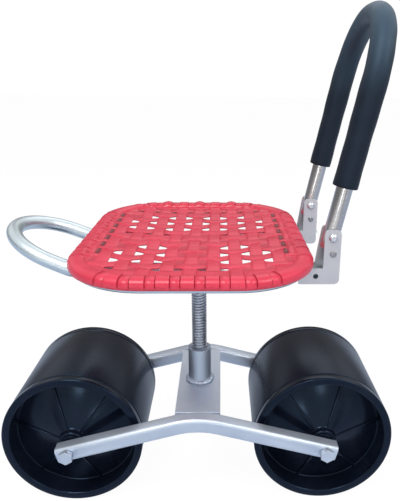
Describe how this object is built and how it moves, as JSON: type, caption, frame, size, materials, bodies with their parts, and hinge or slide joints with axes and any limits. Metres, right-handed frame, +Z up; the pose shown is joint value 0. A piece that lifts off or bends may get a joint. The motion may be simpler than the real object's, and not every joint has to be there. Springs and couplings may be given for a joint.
{
  "type": "rolling garden seat",
  "caption": "Low rolling work seat with a red woven-look plastic seat, a folding padded tube backrest and a lift screw, on two wide black rollers",
  "frame": {"origin": "on the floor under the lift screw's axis, midway between the axles: the middle of the underside of the bounding box", "axes": "+Z up, +X from the hand hoop towards the backrest, +Y along the roller axles, away from the bolt heads"},
  "size_m": [0.504, 0.356, 0.6238],
  "materials": {
    "silver_paint": "satin silver paint",
    "bright_tube": "bright plated tube",
    "zinc": "zinc plated",
    "screw_steel": "oiled screw thread",
    "roller_black": "semi-gloss moulded",
    "seat_red": "satin moulded weave",
    "foam_black": "closed-cell foam"
  },
  "bodies": {
    "base": {"front_frame_tube": "silver_paint", "rear_frame_tube": "silver_paint", "deck_plate": "silver_paint", "screw_collar": "silver_paint", "left_axle_bolt": "zinc", "left_axle_nut": "zinc", "left_axle_sleeve": "zinc", "left_front_washer": "zinc", "left_rear_washer": "zinc", "right_axle_bolt": "zinc", "right_axle_nut": "zinc", "right_axle_sleeve": "zinc", "right_front_washer": "zinc", "right_rear_washer": "zinc"},
    "left_roller": {"left_drum_shell": "roller_black", "left_front_cap": "roller_black", "left_rear_cap": "roller_black"},
    "right_roller": {"right_drum_shell": "roller_black", "right_front_cap": "roller_black", "right_rear_cap": "roller_black"},
    "screw_stop": {"stop_washer": "zinc"},
    "seat": {"lift_screw": "screw_steel", "stop_bolt": "zinc", "mount_plate": "silver_paint", "seat_hoop": "bright_tube", "seat_ring": "bright_tube", "seat_shell": "seat_red", "seat_screw_1": "zinc", "seat_screw_2": "zinc", "seat_screw_3": "zinc", "seat_screw_4": "zinc", "seat_spacer_1": "zinc", "seat_spacer_2": "zinc", "seat_spacer_3": "zinc", "seat_spacer_4": "zinc", "near_bracket": "silver_paint", "near_pivot_bolt": "zinc", "near_pivot_nut": "zinc", "near_stop_pin": "zinc", "far_bracket": "silver_paint", "far_pivot_bolt": "zinc", "far_pivot_nut": "zinc", "far_stop_pin": "zinc"},
    "backrest": {"backrest_tube": "bright_tube", "foam_sleeve": "foam_black"}
  },
  "joints": [
    {"name": "left_roll", "type": "hinge", "parent": "base", "child": "left_roller", "pos_m": [-0.162, 0, 0.09], "axis": [0, 1, 0], "continuous": true},
    {"name": "right_roll", "type": "hinge", "parent": "base", "child": "right_roller", "pos_m": [0.162, 0, 0.09], "axis": [0, 1, 0], "continuous": true},
    {"name": "seat_lift", "type": "slide", "parent": "base", "child": "screw_stop", "axis": [0, 0, 1], "range_m": [-0.051, 0.0545]},
    {"name": "seat_turn", "type": "hinge", "parent": "screw_stop", "child": "seat", "pos_m": [0, 0, 0.2], "axis": [0, 0, 1], "range_deg": [-4590, 4905]},
    {"name": "backrest_fold", "type": "hinge", "parent": "seat", "child": "backrest", "pos_m": [0.155, 0, 0.368], "axis": [0, -1, 0], "range_deg": [0, 102]}
  ],
  "couplings": [
    {"joint": "seat_lift", "follows": "seat_turn", "m_per_rad": 0.00063662}
  ]
}
